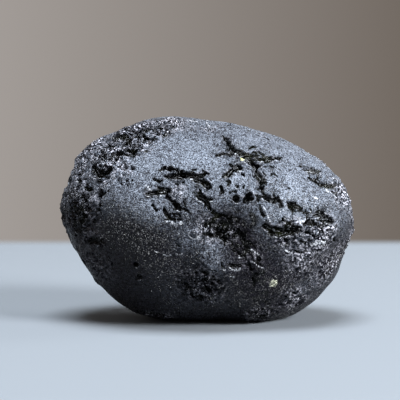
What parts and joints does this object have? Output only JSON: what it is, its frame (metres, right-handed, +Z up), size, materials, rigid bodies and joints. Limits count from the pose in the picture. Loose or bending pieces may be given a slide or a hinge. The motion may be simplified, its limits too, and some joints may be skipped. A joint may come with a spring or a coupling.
{
  "type": "indochinite tektite",
  "caption": "Ovoid splash-form tektite of black natural glass, etched with gouges, round pits and a navel ring, resting on a small worn flat.",
  "frame": {"origin": "centre of the stone's footprint box, on the surface that it rests on", "axes": "+X along the stone's length to its blunt end, -Y out of its best side, +Z up"},
  "size_m": [0.055, 0.0372, 0.0377],
  "materials": {
    "tektite_glass": "satin"
  },
  "bodies": {
    "root": {"tektite": "tektite_glass"}
  },
  "joints": []
}
